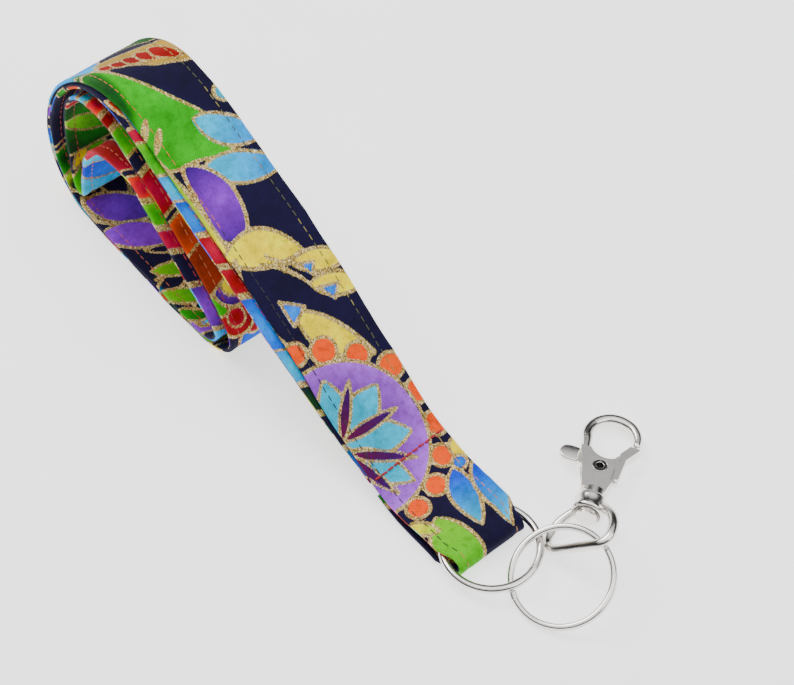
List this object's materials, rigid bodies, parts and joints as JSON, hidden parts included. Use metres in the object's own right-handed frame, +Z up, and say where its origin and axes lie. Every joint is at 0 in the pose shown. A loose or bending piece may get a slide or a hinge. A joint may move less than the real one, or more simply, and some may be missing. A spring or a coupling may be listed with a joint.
{
  "type": "fabric lanyard keychain",
  "caption": "Rolled fabric neck lanyard, topstitched and closed round an O-ring that carries a split key ring and a swivel lobster clasp.",
  "frame": {"origin": "middle of the bounding box's footprint, on the surface that the lanyard lies on", "axes": "+X from the roll towards the rings, along the longest extent; +Y across the strap, towards the clasp's side; +Z up"},
  "size_m": [0.2066, 0.0722, 0.0615],
  "materials": {
    "cotton": "printed quilting cotton, navy ground with bright petals and metallic gold outlines",
    "interfacing": "non-woven white interfacing",
    "thread_tan": "tan and black sewing thread",
    "thread_olive": "olive sewing thread",
    "thread_red": "red sewing thread",
    "nickel": "polished nickel plate, slightly warm, with fine handling scratches",
    "spring_wire": "bright spring wire"
  },
  "bodies": {
    "strap": {"fabric_strap": "cotton", "strap_interfacing": "interfacing", "topstitch_left": "thread_tan", "topstitch_right": "thread_olive", "bar_tack": "thread_red"},
    "o_ring": {"o_ring": "nickel"},
    "split_ring": {"split_ring": "nickel"},
    "swivel_eye": {"swivel_eye": "nickel"},
    "hook": {"hook_body": "nickel", "lever_rivet": "nickel", "lever_spring": "spring_wire"},
    "gate": {"gate_lever": "nickel"}
  },
  "joints": [
    {"name": "o_ring_turn", "type": "hinge", "parent": "strap", "child": "o_ring", "pos_m": [0.07132, -0.01743, 0.00348], "axis": [-0.0401, 0, 0.9992], "range_deg": [-40, 8]},
    {"name": "split_ring_lift", "type": "hinge", "parent": "o_ring", "child": "split_ring", "pos_m": [0.08381, -0.01929, 0.00427], "axis": [0.7755, -0.631, -0.0196], "range_deg": [0, 56]},
    {"name": "eye_swing", "type": "hinge", "parent": "split_ring", "child": "swivel_eye", "pos_m": [0.09246, 0.00188, 0.00899], "axis": [0.8737, 0.4712, 0.1213], "range_deg": [0, 70]},
    {"name": "hook_swivel", "type": "hinge", "parent": "swivel_eye", "child": "hook", "pos_m": [0.07947, 0.0084, 0.00598], "axis": [-0.5239, 0.8443, -0.1125], "continuous": true},
    {"name": "gate_open", "type": "hinge", "parent": "hook", "child": "gate", "pos_m": [0.07267, 0.01821, 0.00463], "axis": [-0.0593, 0.0956, 0.9937], "range_deg": [0, 25], "stiffness_Nm_per_rad": 0.005, "springref_deg": -17.19}
  ]
}
